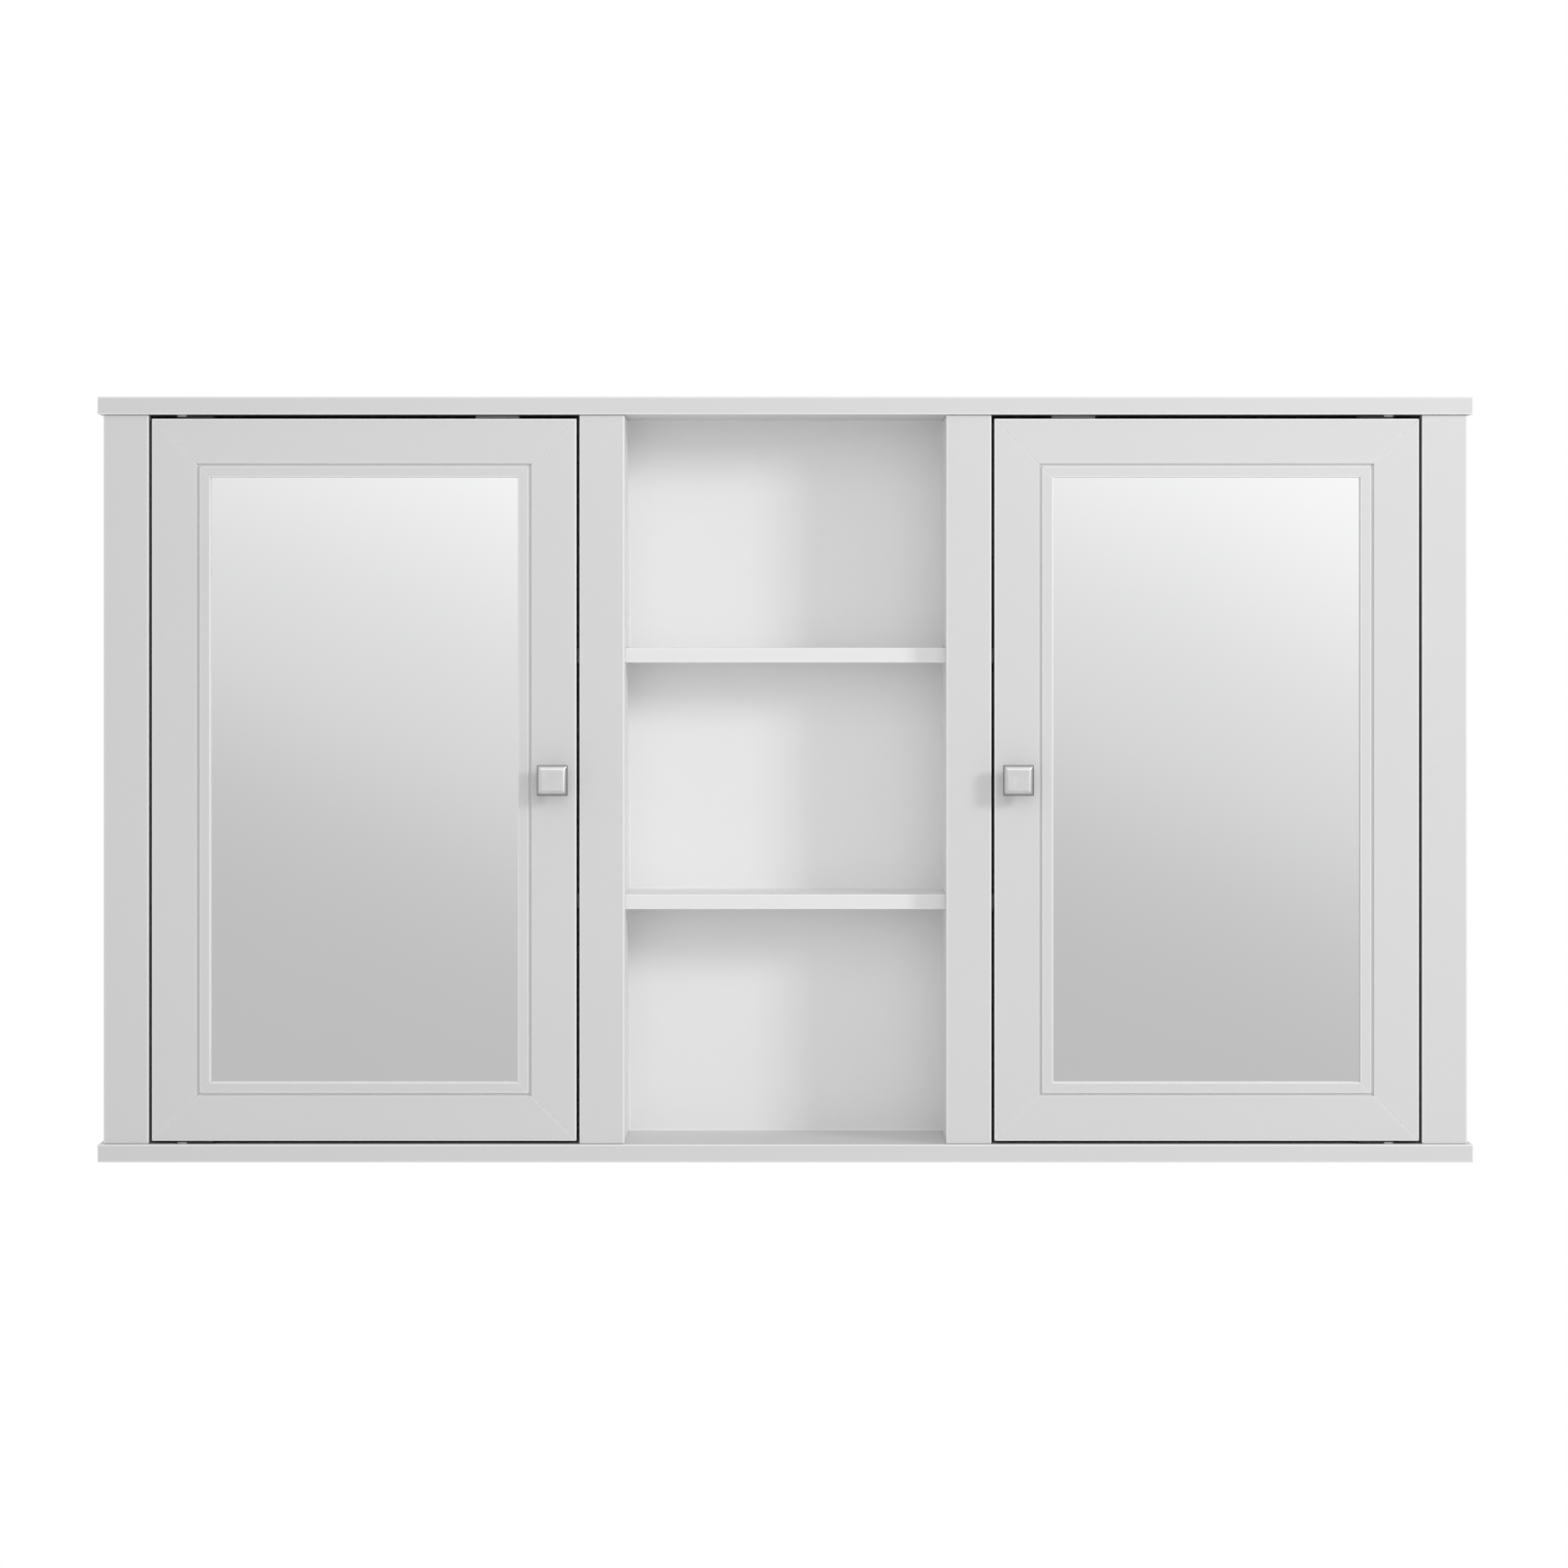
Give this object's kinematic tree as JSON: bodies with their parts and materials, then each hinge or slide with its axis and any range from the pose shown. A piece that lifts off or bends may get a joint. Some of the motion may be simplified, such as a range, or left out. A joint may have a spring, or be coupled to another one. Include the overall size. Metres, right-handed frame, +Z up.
{
  "type": "hanging wall cabinet",
  "caption": "Wide shallow wall cabinet: an open shelved bay between mirrored doors on pivot hinges, each with a square knob and magnetic catch.",
  "frame": {"origin": "middle of the hanging rail's back face, on the wall plane, halfway along the cabinet", "axes": "+Y into the wall, -Y out of the front, +X to the right as seen from the front, +Z up"},
  "size_m": [1.2, 0.1693, 0.668],
  "materials": {
    "white_paint": "satin white paint over fibreboard",
    "mirror_glass": "silvered behind clear glass",
    "hardboard": "bare hardboard",
    "chrome": "polished",
    "zinc_steel": "zinc plated",
    "black_steel": "black lacquered steel",
    "white_plastic": "moulded, satin",
    "magnet": "dull black ferrite"
  },
  "bodies": {
    "carcass": {"back_panel": "white_paint", "bottom_board": "white_paint", "catch_housing_left": "white_plastic", "catch_housing_right": "white_plastic", "catch_magnet_left": "magnet", "catch_magnet_right": "magnet", "centre_shelf_1": "white_paint", "centre_shelf_2": "white_paint", "hanging_rail": "white_paint", "hinge_pin_leaf_left_bottom": "black_steel", "hinge_pin_leaf_left_top": "black_steel", "hinge_pin_leaf_right_bottom": "black_steel", "hinge_pin_leaf_right_top": "black_steel", "inner_stile_left": "white_paint", "inner_stile_right": "white_paint", "keyhole_hanger_left": "zinc_steel", "keyhole_hanger_right": "zinc_steel", "left_shelf_1": "white_paint", "left_shelf_2": "white_paint", "lower_rail": "white_paint", "outer_stile_left": "white_paint", "outer_stile_right": "white_paint", "partition_left": "white_paint", "partition_right": "white_paint", "right_shelf_1": "white_paint", "right_shelf_2": "white_paint", "side_panel_left": "white_paint", "side_panel_right": "white_paint", "top_board": "white_paint"},
    "door_left": {"door_left_backing_board": "hardboard", "door_left_bottom_rail": "white_paint", "door_left_hinge_leaf_bottom": "black_steel", "door_left_hinge_leaf_top": "black_steel", "door_left_hinge_stile": "white_paint", "door_left_knob": "chrome", "door_left_knob_screw": "zinc_steel", "door_left_lock_stile": "white_paint", "door_left_mirror": "mirror_glass", "door_left_strike_plate": "zinc_steel", "door_left_top_rail": "white_paint"},
    "door_right": {"door_right_backing_board": "hardboard", "door_right_bottom_rail": "white_paint", "door_right_hinge_leaf_bottom": "black_steel", "door_right_hinge_leaf_top": "black_steel", "door_right_hinge_stile": "white_paint", "door_right_knob": "chrome", "door_right_knob_screw": "zinc_steel", "door_right_lock_stile": "white_paint", "door_right_mirror": "mirror_glass", "door_right_strike_plate": "zinc_steel", "door_right_top_rail": "white_paint"}
  },
  "joints": [
    {"name": "left_door_hinge", "type": "hinge", "parent": "carcass", "child": "door_left", "pos_m": [-0.5274, -0.136, -0.2886], "axis": [0, 0, -1], "range_deg": [0, 110]},
    {"name": "right_door_hinge", "type": "hinge", "parent": "carcass", "child": "door_right", "pos_m": [0.5274, -0.136, -0.2886], "axis": [0, 0, 1], "range_deg": [0, 110]}
  ]
}
